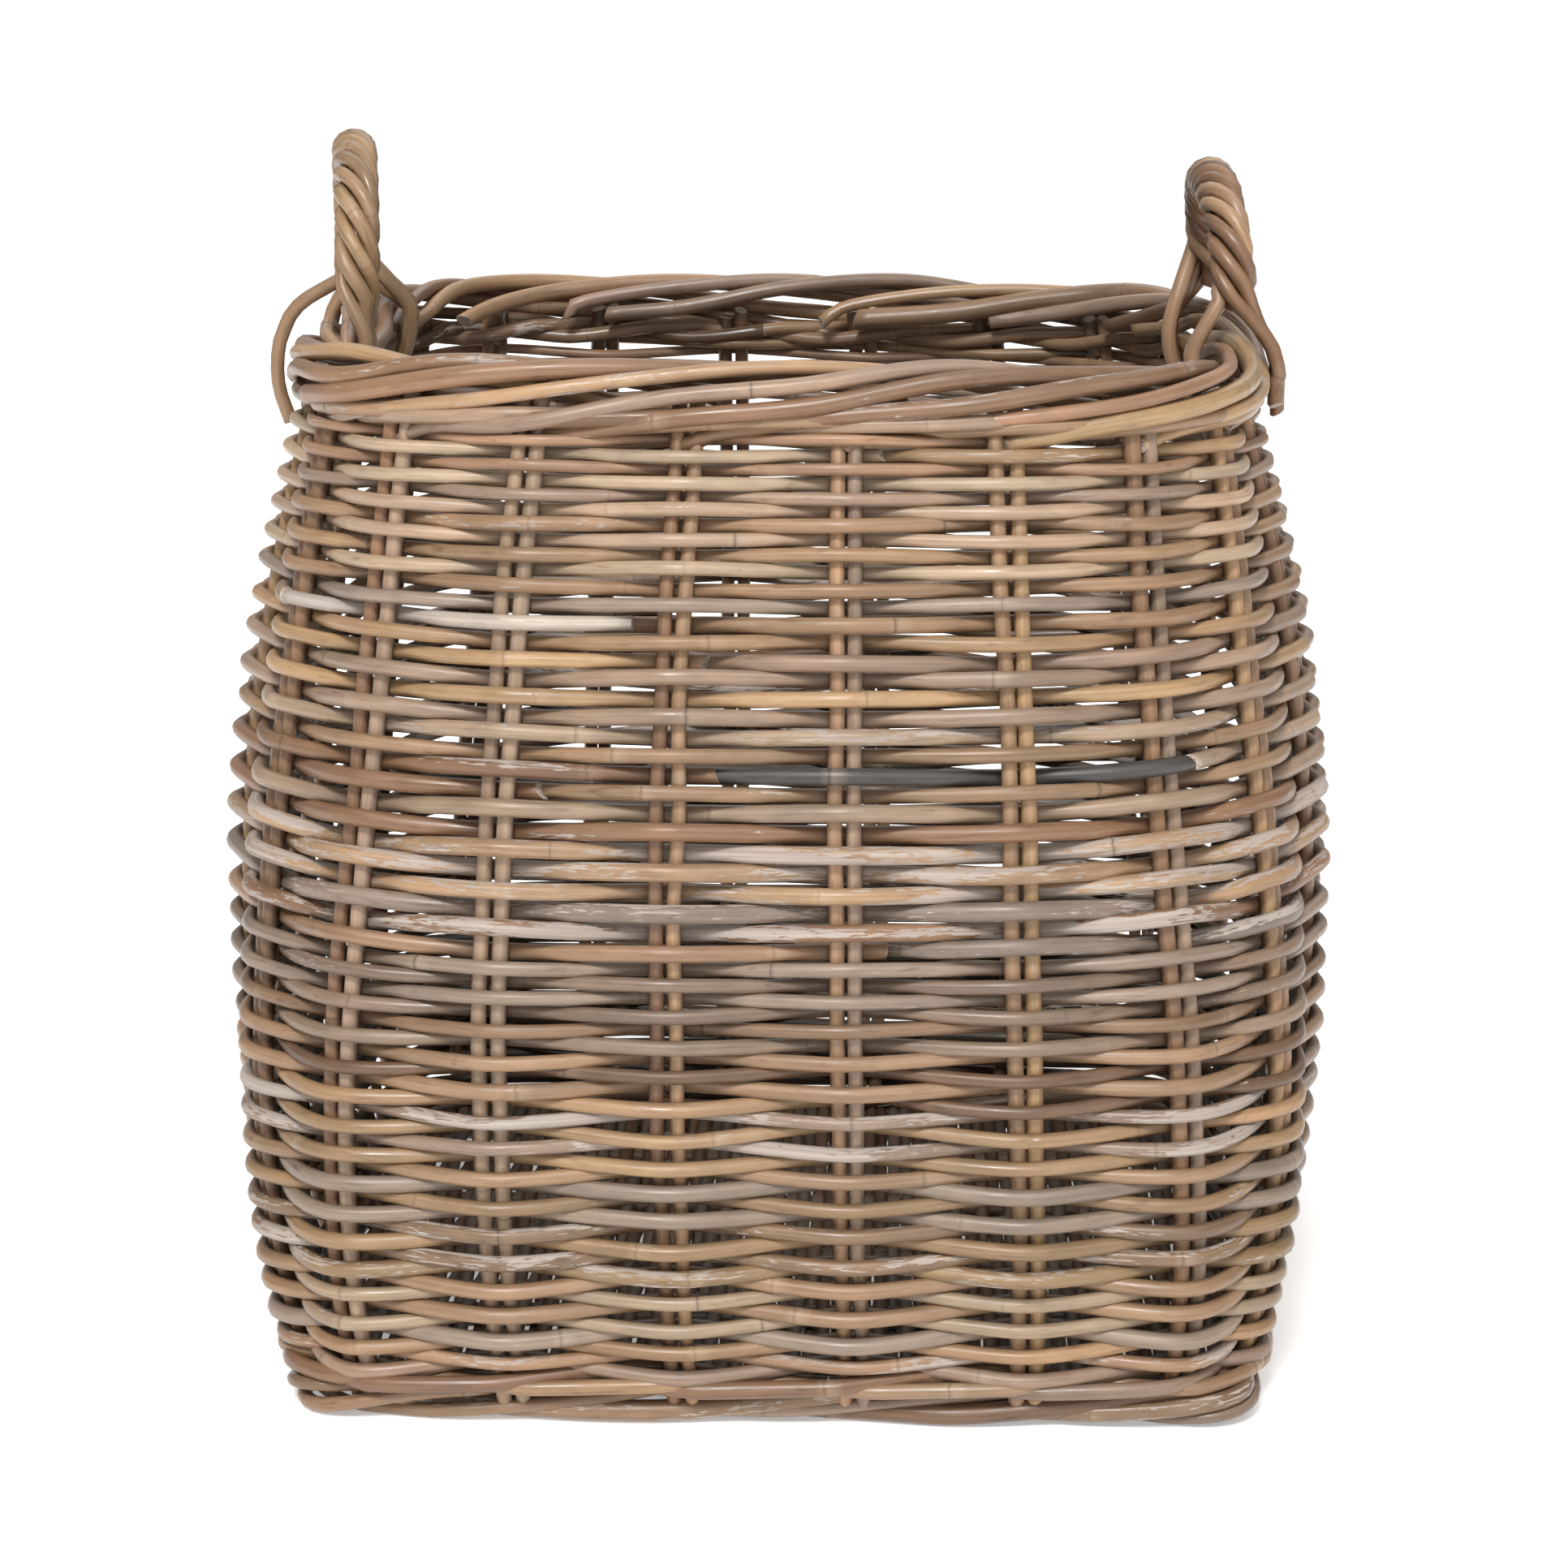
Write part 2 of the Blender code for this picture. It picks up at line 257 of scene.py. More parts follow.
# Canes that stand out: first and last place round the wall in stake pairs, height, bark and peel
ODD_CANES = (
    (20.0, 22.78, 0.376, BLEACHED, 0.75),
    (-0.95, 2.2, 0.310, CHARCOAL, 0.0),
)
# How often bark has peeled anywhere, and its belts: middle, width and how much more often
PEEL_CHANCE = 0.06
PEEL_BELTS = ((0.260, 0.032, 0.80), (0.09, 0.05, 0.22))
PEELED = (0.45, 0.85)
HARDLY_PEELED = (0.0, 0.30)
# A weaver's canes, in stake pairs: their lengths, the shortest last one, and how near to the weaver's end, or
# to a cane that stands out, a cane has to end to go on up to it
WEAVER_LENGTHS = (20, 46)
SHORTEST_LAST = 4
END_REACH = 8
ODD_REACH = 6
OUTSIDE_JOINT_SHARE = 0.16
JOINT_OVERLAP = (0.12, 0.30)
# How long a new cane takes to come out from behind the old one, in stake pairs
LAP_LENGTH = 0.5
WEAVE_STEP = 0.045
WEAVER_SIZES = (0.90, 1.12)
# How far a weaver presses into the stakes
WEAVER_PRESS = 0.0002
# Height, and how a weaver swings there: 0 like a wave, and 1 straight with a sharp bend at each pair
SWING_SHARPNESS = ((0.03, 0.88), (0.20, 0.90), (0.25, 0.975))


def unit(vectors):
    return vectors / np.linalg.norm(vectors, axis=-1, keepdims=True)


def unique_points(node):
    found = np.array([vertex.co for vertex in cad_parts[node].data.vertices], float)
    return np.unique(np.round(found, 7), axis=0)


def spline_weights(share):
    """Catmull-Rom weights of four knots in a row, at this share of the way between the middle two."""
    square, cube = share**2, share**3
    return (
        (-share + 2 * square - cube) / 2,
        (2 - 5 * square + 3 * cube) / 2,
        (share + 4 * square - 3 * cube) / 2,
        (-square + cube) / 2,
    )


def spline_value(knots, start, stations):
    """The curve through the knots at these stations. A knot is at each, and the first is at start."""
    place = np.floor(stations).astype(int)
    weights = spline_weights(stations - place)
    return sum(weight * knots[place - start - 1 + step] for step, weight in enumerate(weights))


def waver(rng, places, bends):
    """A smooth random offset along a cane, from the length of a bend and its size."""
    length, size = bends
    stations = places / length
    start = int(np.floor(stations.min())) - 1
    knots = rng.normal(0.0, size, int(np.ceil(stations.max())) - start + 4)
    return spline_value(knots, start, stations)


def by_height(table, heights):
    """The table's value at these heights."""
    return np.interp(heights, *np.array(table).T)


def smooth_path(knots, steps):
    """Points of the Catmull-Rom curve through the knots, with this many steps between two knots."""
    knots = np.array(knots, float)
    padded = np.concatenate([[2 * knots[0] - knots[1]], knots, [2 * knots[-1] - knots[-2]]])
    share = np.arange(steps) / steps
    weights = spline_weights(share)
    pieces = []
    for first in range(len(knots) - 1):
        pieces.append(sum(weight[:, None] * padded[first + step] for step, weight in enumerate(weights)))
    return np.concatenate([*pieces, knots[-1:]])


# ---- The wall, read from the CAD stakes ----


def read_stake_lines():
    """Fits each pair's middle as a polynomial of its height share, from the rings of the CAD solids."""
    lines = []
    for number in range(STAKE_PAIRS):
        points = unique_points(f"stake_pair_{number + 1:02d}")
        rings = np.array_split(points[np.argsort(points[:, 2])], STAKE_RINGS)
        lines.append([ring.mean(axis=0) for ring in rings])
    lines = np.array(lines)
    bottom, top = lines[:, 0, 2].mean(), lines[:, -1, 2].mean()
    shares = np.linspace(0, 1, STAKE_RINGS)
    fits = np.polyfit(shares, lines.transpose(1, 0, 2).reshape(STAKE_RINGS, -1), STAKE_FIT_DEGREE)
    return fits.reshape(STAKE_FIT_DEGREE + 1, STAKE_PAIRS, 3), bottom, top


def wall_places(stations, heights):
    knots = stations - 0.5
    first = np.floor(knots).astype(int)
    share = (heights - stake_bottom) / (stake_top - stake_bottom)
    powers = share ** np.arange(STAKE_FIT_DEGREE, -1, -1)[:, None]
    total = 0
    for step, weight in enumerate(spline_weights(knots - first)):
        fits = stake_fits[:, (first - 1 + step) % STAKE_PAIRS]
        total = total + weight[:, None] * (powers[:, :, None] * fits).sum(axis=0)
    return total


def wall_frames(stations, heights):
    """Places in the middle of the wall, with the directions along it and straight out of it."""
    places = wall_places(stations, heights)
    sideways = unit(wall_places(stations + 0.02, heights) - wall_places(stations - 0.02, heights))
    upward = unit(wall_places(stations, heights + 0.001) - wall_places(stations, heights - 0.001))
    return places, sideways, unit(np.cross(sideways, upward))


def on_wall(stations, heights, out=0.0, aside=0.0):
    """(points, outward directions) at this distance out of the wall's middle."""
    stations, heights = np.broadcast_arrays(np.atleast_1d(stations).astype(float), heights)
    places, sideways, outward = wall_frames(stations, heights)
    out, aside = np.broadcast_to(out, stations.shape), np.broadcast_to(aside, stations.shape)
    return places + out[:, None] * outward + aside[:, None] * sideways, outward


# ---- Canes ----


def pick_bark(rng, bark):
    tones, shares = zip(*bark)
    tone = np.array(tones[rng.choice(len(tones), p=np.array(shares) / sum(shares))])
    return tone * (1 + rng.normal(0, SCATTER)) * (1 + rng.normal(0, SCATTER / 7, 3))


def pick_cuts(rng, most):
    """How much each end of a cane slants, either way."""
    return rng.uniform(-most, most, 2)


def shaded(bark, shade):
    return tuple((tuple(shade * value for value in tone), share) for tone, share in bark)


def node_places(rng, length):
    places, place = [], rng.uniform(*FIRST_NODE)
    while place < length - NODE_MARGIN:
        places.append(place)
        place += rng.uniform(*NODE_GAPS)
    return np.array(places)


def interpolated(values, along, places):
    """The rows of values at these places along the cane."""
    return np.stack([np.interp(places, along, values[:, axis]) for axis in range(3)], axis=1)


def with_end_rows(values):
    """The first and the last row twice."""
    return np.concatenate([values[:1], values, values[-1:]])


def cane_rings(rng, length):
    """Places of the rings along a cane, close together at its nodes, and the girth and marks of each."""
    nodes = node_places(rng, length)
    offsets, girths, darks, pales = np.array(NODE_PROFILE).T
    places = np.linspace(0, length, max(FEWEST_RINGS, int(length / RING_SPACING)))
    for node in nodes:
        places = places[(places < node + offsets[0]) | (places > node + offsets[-1])]
        places = np.concatenate([places, node + offsets])
    places = np.unique(np.clip(places, 0, length))
    girth, dark, pale = np.ones(len(places)), np.zeros(len(places)), np.zeros(len(places))
    for node in nodes:
        girth += rng.uniform(0.5, 1.2) * np.interp(places - node, offsets, girths - 1)
        dark += rng.choice(NODE_DARKNESS) * np.interp(places - node, offsets, darks)
        pale += rng.uniform(0.1, 0.9) * np.interp(places - node, offsets, pales)
    return places, girth, dark, pale


def bark_fields(rng, places, radii, angles, tint, marks):
    """What the material reads at each vertex: its place in the cane's own space, its marks, and its colour
    with painted shade on the side away from the bright side.
    """
    dark, pale, peel, painted_shade = marks
    shape = (len(places), len(angles))
    space = np.empty((*shape, 3))
    space[:, :, 0] = places[:, None] + rng.uniform(0, 40)
    space[:, :, 1] = radii[:, None] * np.cos(angles)
    space[:, :, 2] = radii[:, None] * np.sin(angles) + rng.uniform(0, 3)
    marked = np.zeros((*shape, 4))
    marked[:, :, 0] = dark[:, None]
    marked[:, :, 1] = pale[:, None]
    marked[:, :, 2] = peel
    # The cut faces at the two ends
    marked[0, :, 3] = marked[-1, :, 3] = 1
    tints_with_painted_shade = np.ones((*shape, 4))
    # Painted shade: the side of the cane away from its bright side is darkened
    shade = 1 - painted_shade * np.clip(0.2 - np.cos(angles), 0, 1)
    tints_with_painted_shade[:, :, :3] = np.asarray(tint) * shade[None, :, None]
    tints_with_painted_shade[:, :, 3] = rng.uniform()
    return {"space": space.reshape(-1, 3), "marks": marked.reshape(-1, 4), "tint": tints_with_painted_shade.reshape(-1, 4)}


def cane_spine(path, hint, along, places):
    """At these places along the cane: its middle line, its direction and its bright side."""
    ahead = interpolated(path, along, places + HALF_CHORD)
    behind = interpolated(path, along, places - HALF_CHORD)
    forward = unit(ahead - behind)
    hints = interpolated(hint, along, places)
    normal = unit(hints - (hints * forward).sum(1)[:, None] * forward)
    return interpolated(path, along, places), forward, normal


def cut_ends(points, radii, forward, leaning, cuts):
    """Slants the two ends and pushes their last rings out a little, as a worn edge."""
    points[0] -= WORN_EDGE_DEPTH * forward[0]
    points[-1] += WORN_EDGE_DEPTH * forward[-1]
    for end, next_row, slant in zip((0, -1), (1, -2), cuts):
        lean = slant * radii[end] * leaning
        points[[end, next_row]] += lean[:, None] * forward[end]


def tube_faces(rows, sides):
    """The quads round a tube of this many rings, and the caps over its two ends."""
    first = np.arange(rows - 1)[:, None] * sides
    here, there = np.arange(sides), (np.arange(sides) + 1) % sides
    quads = np.stack([first + here, first + there, first + sides + there, first + sides + here], axis=-1)
    return quads.reshape(-1, 4), np.stack([here[::-1], (rows - 1) * sides + here])


def make_cane(rng, path, hint, radius, tint, peel=0.0, painted_shade=0.0, cuts=PLAIN_CUTS, sides=RING_SIDES):
    """A cane's mesh along the path, with its nodes, cut ends and the marks on its bark.

    hint points to its bright side along the path, and painted shade darkens the other. cuts slant its two
    ends.
    """
    path = np.asarray(path, float)
    steps = np.linalg.norm(np.diff(path, axis=0), axis=1)
    along = np.concatenate([[0], np.cumsum(steps)])
    length = along[-1]
    places, girth, dark, pale = cane_rings(rng, length)
    radii = np.interp(places, along, np.broadcast_to(radius, along.shape))
    radii = radii * girth * (1 + CANE_TAPER * (places / length - 0.5) * rng.choice((-1, 1)))
    radii = radii * (1 + CANE_RIPPLE * np.sin(places * rng.uniform(*RIPPLE_RATES) + rng.uniform(0, 6)))
    # Each end gets one more ring, a little smaller
    rows = (*cane_spine(path, hint, along, places), radii, places, dark, pale)
    centre, forward, normal, radii, places, dark, pale = (with_end_rows(row) for row in rows)
    radii[[0, -1]] *= WORN_EDGE_SHARE
    angles = math.tau * np.arange(sides) / sides
    oval = 1 + rng.uniform(0, MOST_OVAL) * np.cos(2 * (angles - rng.uniform(0, 3)))
    spokes = normal[:, None] * (oval * np.cos(angles))[:, None]
    spokes = spokes + np.cross(forward, normal)[:, None] * (oval * np.sin(angles))[:, None]
    points = centre[:, None] + radii[:, None, None] * spokes
    cut_ends(points, radii, forward, np.cos(angles - rng.uniform(0, math.tau)), cuts)
    quads, caps = tube_faces(len(places), sides)
    fields = bark_fields(rng, places, radii, angles, tint, (dark, pale, peel, painted_shade))
    return {"points": points.reshape(-1, 3), "quads": quads, "caps": caps, **fields}


def new_object(name, data):
    made = bpy.data.objects.new(name, data)
    bpy.context.scene.collection.objects.link(made)
    return made


def fill_mesh(mesh, canes):
    """Gives the mesh the canes' points, their sides as quads and their ends as caps."""
    starts = np.concatenate([[0], np.cumsum([len(cane["points"]) for cane in canes])])
    points = np.concatenate([cane["points"] for cane in canes])
    quads = np.concatenate([cane["quads"] + start for cane, start in zip(canes, starts)])
    caps = [cap + start for cane, start in zip(canes, starts) for cap in cane["caps"]]
    corners = np.concatenate([quads.ravel(), *caps])
    sizes = np.concatenate([np.full(len(quads), 4), [len(cap) for cap in caps]])
    loop_starts = np.concatenate([[0], np.cumsum(sizes)[:-1]])
    mesh.vertices.add(len(points))
    mesh.vertices.foreach_set("co", points.astype(np.float32).ravel())
    mesh.loops.add(len(corners))
    mesh.loops.foreach_set("vertex_index", corners.astype(np.int32))
    mesh.polygons.add(len(sizes))
    mesh.polygons.foreach_set("loop_start", loop_starts.astype(np.int32))
    mesh.polygons.foreach_set("use_smooth", sizes == 4)
    mesh.update(calc_edges=True)


# Mesh attribute: the cane's own field, and how Blender stores it
CANE_FIELDS = {
    # tint carries the bark's colour with the painted shade of the inner side multiplied in
    "tint": ("tint", "FLOAT_COLOR", "color"),
    "marks": ("marks", "FLOAT_COLOR", "color"),
    "cane_space": ("space", "FLOAT_VECTOR", "vector"),
}


def add_piece(name, canes, slot, nodes):
    """One object from its canes, which rides on the frame and stands for the CAD nodes."""
    mesh = bpy.data.meshes.new(name)
    fill_mesh(mesh, canes)
    for label, (key, kind, field) in CANE_FIELDS.items():
        values = np.concatenate([cane[key] for cane in canes]).astype(np.float32)
        mesh.attributes.new(label, kind, "POINT").data.foreach_set(field, values.ravel())
    mesh.materials.append(cane_material(slot))
    piece = new_object(name, mesh)
    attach(piece, BODY)
    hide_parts(*nodes)


# ---- Materials ----


class Graph:
    """A short way to write a node tree."""

    def __init__(self, tree):
        self.tree = tree

    def node(self, kind, inputs=(), **settings):
        made = self.tree.nodes.new(kind)
        for name, value in settings.items():
            setattr(made, name, value)
        for name, value in dict(inputs).items():
            socket = made.inputs[name]
            if isinstance(value, bpy.types.NodeSocket):
                self.tree.links.new(value, socket)
            else:
                socket.default_value = value
        return made

    def math(self, operation, *values, clamp=False):
        made = self.node("ShaderNodeMath", dict(enumerate(values)), operation=operation, use_clamp=clamp)
        return made.outputs[0]

    def times(self, colour, factor):
        """The colour multiplied by another one, or by a value."""
        if isinstance(factor, bpy.types.NodeSocket):
            factor = self.node("ShaderNodeCombineColor", {0: factor, 1: factor, 2: factor}).outputs[0]
        return self.mix(1.0, colour, factor, "MULTIPLY")

    def mix(self, share, first, second, blend="MIX"):
        made = self.node("ShaderNodeMix", data_type="RGBA", blend_type=blend)
        for socket, value in zip((made.inputs[0], made.inputs[6], made.inputs[7]), (share, first, second)):
            if isinstance(value, bpy.types.NodeSocket):
                self.tree.links.new(value, socket)
            else:
                socket.default_value = value if isinstance(value, float) else (*value, 1.0)
        return made.outputs[2]

    def range(self, value, low, high, to_low=0.0, to_high=1.0, smooth=False):
        inputs = {"Value": value, "From Min": low, "From Max": high, "To Min": to_low, "To Max": to_high}
        kind = "SMOOTHSTEP" if smooth else "LINEAR"
        return self.node("ShaderNodeMapRange", inputs, interpolation_type=kind).outputs["Result"]

    def noise(self, vector, stretch, detail=3.0, distortion=0.0):
        scaled = self.node("ShaderNodeVectorMath", {0: vector, 1: stretch}, operation="MULTIPLY").outputs[0]
        inputs = {"Vector": scaled, "Scale": 1.0, "Detail": detail, "Distortion": distortion}
        return self.node("ShaderNodeTexNoise", inputs).outputs["Fac"]


# Slot: roughness of the bark, how bright it is, which is painted light on the stakes and painted shade on the
# base, how strong the grain is
FINISHES = {
    "stake_cane": (0.36, 1.25, 0.35),
    "siding_cane": (0.33, 1.00, 0.45),
    "siding_cane_grey": (0.36, 1.00, 0.45),
    "border_cane": (0.32, 1.00, 0.42),
    "base_cane": (0.45, 0.70, 0.40),
    "handle_cane": (0.31, 1.03, 0.38),
}


# Colours that the bark's own tint is multiplied by, and colours that are laid over it
WARM_TINGE = (1.12, 0.98, 0.84)
STAIN_SHADE = (0.42, 0.36, 0.32)
WOOD_DARK, WOOD_PALE = (0.31, 0.252, 0.212), (0.50, 0.435, 0.385)
NODE_SHOULDER = (0.56, 0.44, 0.32)
NODE_RING = (0.055, 0.035, 0.024)
PITH_DARK, PITH_PALE = (0.28, 0.22, 0.17), (0.62, 0.54, 0.45)


def bark_colour(graph, space, tint, fibres, blotches, painted_light_and_shade):
    """The cane's own colour with long fibres, soft blotches, slow changes of tone and stains, scaled by the
    slot's painted light and shade.
    """
    slow = graph.noise(space, (7.0, 30.0, 30.0), detail=2.0)
    fibre_tone = graph.range(fibres, 0.25, 0.75, 0.79, 1.17)
    tone = graph.math("MULTIPLY", fibre_tone, graph.range(blotches, 0.25, 0.75, 0.84, 1.14))
    # Painted light and shade: the slot's factor lightens the stakes and darkens the base
    tone = graph.math("MULTIPLY", tone, graph.range(slow, 0.3, 0.7, 0.82 * painted_light_and_shade, 1.16 * painted_light_and_shade))
    bark = graph.times(tint, tone)
    bark = graph.mix(graph.range(slow, 0.45, 0.75, 0.0, 0.30), bark, graph.times(bark, WARM_TINGE))
    spots = graph.noise(space, (38.0, 240.0, 240.0), detail=6.0, distortion=1.2)
    stains = graph.range(spots, 0.60, 0.74, 0.0, 0.55, smooth=True)
    return graph.mix(stains, bark, graph.times(bark, STAIN_SHADE))


def bare_share(graph, space, peel):
    """Where the weathered bark has come off in flakes, and more of it the more the cane has peeled."""
    patches = graph.noise(space, (10.0, 110.0, 110.0), detail=3.0, distortion=0.5)
    speckle = graph.noise(space, (130.0, 900.0, 900.0), detail=6.0, distortion=0.3)
    frayed = graph.math("MULTIPLY", graph.math("SUBTRACT", speckle, 0.5), 0.60)
    flake = graph.math("ADD", patches, frayed)
    edge = graph.math("SUBTRACT", flake, graph.range(peel, 0.0, 1.0, 0.80, 0.38))
    return graph.range(edge, 0.0, 0.04, 0.0, 0.85, smooth=True)


def sawn_colour(graph, space):
    """The pith and its pores, which a cut end shows."""
    pores = graph.range(graph.noise(space, (300.0, 1500.0, 1500.0), detail=2.0), 0.4, 0.62)
    return graph.mix(pores, PITH_DARK, PITH_PALE)


def cane_shader(graph, slot):
    """The slot's bark. It reads the fields that each cane's mesh carries."""
    roughness, painted_light_and_shade, grain = FINISHES[slot]
    # The tint holds the bark's colour with painted shade on each cane's inner side
    tint = graph.node("ShaderNodeAttribute", attribute_name="tint").outputs["Color"]
    space = graph.node("ShaderNodeAttribute", attribute_name="cane_space").outputs["Vector"]
    marks = graph.node("ShaderNodeAttribute", attribute_name="marks")
    dark, pale, peel = graph.node("ShaderNodeSeparateColor", {0: marks.outputs["Color"]}).outputs
    cut = marks.outputs["Alpha"]
    fibres = graph.noise(space, (14.0, 700.0, 700.0), detail=4.0)
    blotches = graph.noise(space, (55.0, 160.0, 160.0), detail=4.0, distortion=0.6)
    bare = bare_share(graph, space, peel)
    colour = bark_colour(graph, space, tint, fibres, blotches, painted_light_and_shade)
    colour = graph.mix(bare, colour, graph.mix(graph.range(fibres, 0.3, 0.7), WOOD_DARK, WOOD_PALE))
    colour = graph.mix(graph.math("MULTIPLY", pale, 0.45), colour, NODE_SHOULDER)
    colour = graph.mix(graph.math("MULTIPLY", dark, 0.85, clamp=True), colour, NODE_RING)
    gloss = graph.range(blotches, 0.3, 0.7, roughness - 0.06, roughness + 0.14)
    dull = graph.math("MULTIPLY", graph.math("MAXIMUM", bare, cut), 0.35)
    relief = graph.math("ADD", graph.math("MULTIPLY", fibres, 0.7), graph.math("MULTIPLY", bare, -0.6))
    bump = graph.node("ShaderNodeBump", {"Strength": grain, "Distance": 0.0006, "Height": relief})
    settings = {
        "Base Color": graph.mix(cut, colour, sawn_colour(graph, space)),
        "Roughness": graph.math("ADD", gloss, dull),
        "Normal": bump.outputs["Normal"],
    }
    return graph.node("ShaderNodeBsdfPrincipled", settings).outputs["BSDF"]


def cane_material(slot):
    """The slot's material, made once."""
    name = f"woven_{slot}"
    found = bpy.data.materials.get(name)
    if found:
        return found
    material = bpy.data.materials.new(name)
    material.use_nodes = True
    material.node_tree.nodes.clear()
    graph = Graph(material.node_tree)
    graph.node("ShaderNodeOutputMaterial", {"Surface": cane_shader(graph, slot)})
    return material


# ---- The woven wall ----


def round_heights():
    """Height of a weaver against its rounds, from the rise of each round."""
    heights, rises = np.array(ROUND_RISE).T
    rounds, height, found = 0.0, FIRST_ROUND, [(0.0, FIRST_ROUND)]
    step = 0.05
    while height < LAST_ROUND + 0.03:
        height += step * np.interp(height, heights, rises)
        rounds += step
        found.append((rounds, height))
    return np.array(found).T


def weave_height(rounds):
    """A weaver lies level until its first round is done, then climbs."""
    return np.interp(rounds, *weave_rounds)


def stake_cane(rng, station, side, spread):
    """One cane of a pair, with a slight waver. side is -1 or 1."""
    foot = STAKE_FOOT + rng.uniform(0, STAKE_FOOT_SCATTER)
    heights = np.arange(foot, stake_top + STAKE_END, STAKE_STEP)
    aside = side * (STAKE_RADIUS + STAKE_GAP + spread) + waver(rng, heights, STAKE_WAVER)
    depth = waver(rng, heights, STAKE_DEPTH_WAVER)
    points, outward = on_wall(np.full(len(heights), station), heights, depth, aside)
    radius = STAKE_RADIUS * rng.uniform(*STAKE_SIZES)
    tint, peel = pick_bark(rng, STAKE_BARK), rng.choice(STAKE_PEEL)
    return make_cane(rng, points, outward, radius, tint, peel, STAKE_PAINTED_SHADE)


def build_stakes():
    rng = np.random.default_rng(SEEDS["stakes"])
    for number in range(STAKE_PAIRS):
        spread = rng.uniform(0.0, STAKE_SPREAD)
        canes = [stake_cane(rng, number + 0.5, side, spread) for side in (-1, 1)]
        add_piece(f"stakes_{number + 1:02d}", canes, "stake_cane", [f"stake_pair_{number + 1:02d}"])


def peel_of(rng, height):
    """How far the bark has peeled: most on the belly, some near the foot, little elsewhere."""
    chance = PEEL_CHANCE
    for middle, width, most in PEEL_BELTS:
        chance += most * math.exp(-(((height - middle) / width) ** 2))
    return rng.uniform(*PEELED) if rng.uniform() < chance else rng.uniform(*HARDLY_PEELED)


def odd_cane_starts():
    """Where along the first weaver each cane that stands out begins and ends, with its bark and peel."""
    found = []
    for first, last, height, bark, peel in ODD_CANES:
        rounds = np.interp(height, weave_rounds[1], weave_rounds[0]) - FIRST_WEAVER_LEAD
        turn = round(rounds - first / STAKE_PAIRS)
        start = turn * STAKE_PAIRS + first
        found.append((start, start + last - first, bark, peel))
    return sorted(found, key=lambda cane: cane[0])


def cane_runs(rng, first, last, weaver):
    """The runs of a weaver's canes one after the other: start, end, bark and peel."""
    odd = odd_cane_starts() if weaver == 0 else []
    start = first
    while start < last - SHORTEST_LAST:
        if odd and start == odd[0][0]:
            yield odd[0]
            start = odd.pop(0)[1]
            continue
        end = min(math.floor(start) + int(rng.integers(*WEAVER_LENGTHS)), last)
        if last - end < END_REACH:
            end = last
        # A joint mostly lies inside a stake pair
        if end < last and (end + weaver) % 2 == 0 and rng.uniform() > 2 * OUTSIDE_JOINT_SHARE:
            end += 1
        if odd and end > odd[0][0] - ODD_REACH:
            end = odd[0][0]
        yield start, end, None, None
        start = end


def weaver_swing(stakes, heights, weaver):
    """1 where the weaver is outside a pair, -1 where it is inside one."""
    sharpness = by_height(SWING_SHARPNESS, heights)
    return np.arcsin(sharpness * np.cos(math.pi * (stakes + weaver))) / np.arcsin(sharpness)


def joint_overlaps(rng, places, weaver):
    """A joint inside the wall overlaps, and one outside butts end to end."""
    inside = [math.cos(math.pi * (place + weaver)) < 0 for place in places]
    return [rng.uniform(*JOINT_OVERLAP) if hidden else 0.0 for hidden in inside]


def weaver_cane(rng, weaver, lead, ripple, run):
    """The mean height and the mesh of one cane of a weaver."""
    start, end, bark, peel = run
    overlaps = joint_overlaps(rng, (start, end), weaver)
    before, after = (0.0, 0.0) if bark else overlaps
    stakes = np.arange(start - before, end + after, WEAVE_STEP)
    heights = weave_height(stakes / STAKE_PAIRS + lead)
    radius = by_height(WEAVER_RADIUS, heights) * rng.uniform(*WEAVER_SIZES)
    swing = weaver_swing(stakes, heights, weaver)
    out = swing * (STAKE_RADIUS + radius - WEAVER_PRESS)
    # The new cane starts behind the end of the old one
    lap = np.clip(1 - (stakes - start) / LAP_LENGTH, 0, 1)
    behind = 2.0 * radius if before > 0 else 0.0
    out = out - lap * lap * (3 - 2 * lap) * behind
    raised = heights + ripple(stakes) + swing * by_height(OUTSIDE_LIFT, heights)
    points, outward = on_wall(stakes + 0.5, raised, out)
    height = heights.mean()
    tint = pick_bark(rng, ((bark, 1),) if bark else SIDING_BARK) * by_height(BARK_SHADE, height)
    bared = peel_of(rng, height) if peel is None else peel
    # Painted shade on the weaver's inner side, stronger lower down
    painted_shade = by_height(INNER_PAINTED_SHADE, height)
    cuts = pick_cuts(rng, WALL_SLANT)
    return height, make_cane(rng, points, outward, radius, tint, bared, painted_shade, cuts)


def make_ripple(rng, first, last, size):
    """A smooth random height along a weaver, with a knot at each stake pair."""
    knots = rng.normal(0, size, last - first + 12)
    return lambda stakes: spline_value(knots, first - 3, stakes)


def build_siding():
    """Two weavers that climb round the wall together, one outside the stakes that the other is inside."""
    rng = np.random.default_rng(SEEDS["siding"])
    low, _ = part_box("siding_band_01")
    _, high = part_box(f"siding_band_{SIDING_BANDS:02d}")
    bands = [[] for _ in range(SIDING_BANDS)]
    end_round = np.interp(LAST_ROUND, weave_rounds[1], weave_rounds[0])
    first = int(STARTING_TURN * STAKE_PAIRS)
    for weaver, lead in enumerate((FIRST_WEAVER_LEAD, 0.0)):
        last = int((end_round - lead) * STAKE_PAIRS)
        ripple = make_ripple(rng, first, last, WEAVE_RIPPLE)
        for run in cane_runs(rng, first, last, weaver):
            height, cane = weaver_cane(rng, weaver, lead, ripple, run)
            share = (height - low[2]) / (high[2] - low[2])
            bands[int(np.clip(share * SIDING_BANDS, 0, SIDING_BANDS - 1))].append(cane)
    for number, canes in enumerate(bands):
        slot = "siding_cane" if number % 2 else "siding_cane_grey"
        add_piece(f"weave_band_{number + 1:02d}", canes, slot, [f"siding_band_{number + 1:02d}"])


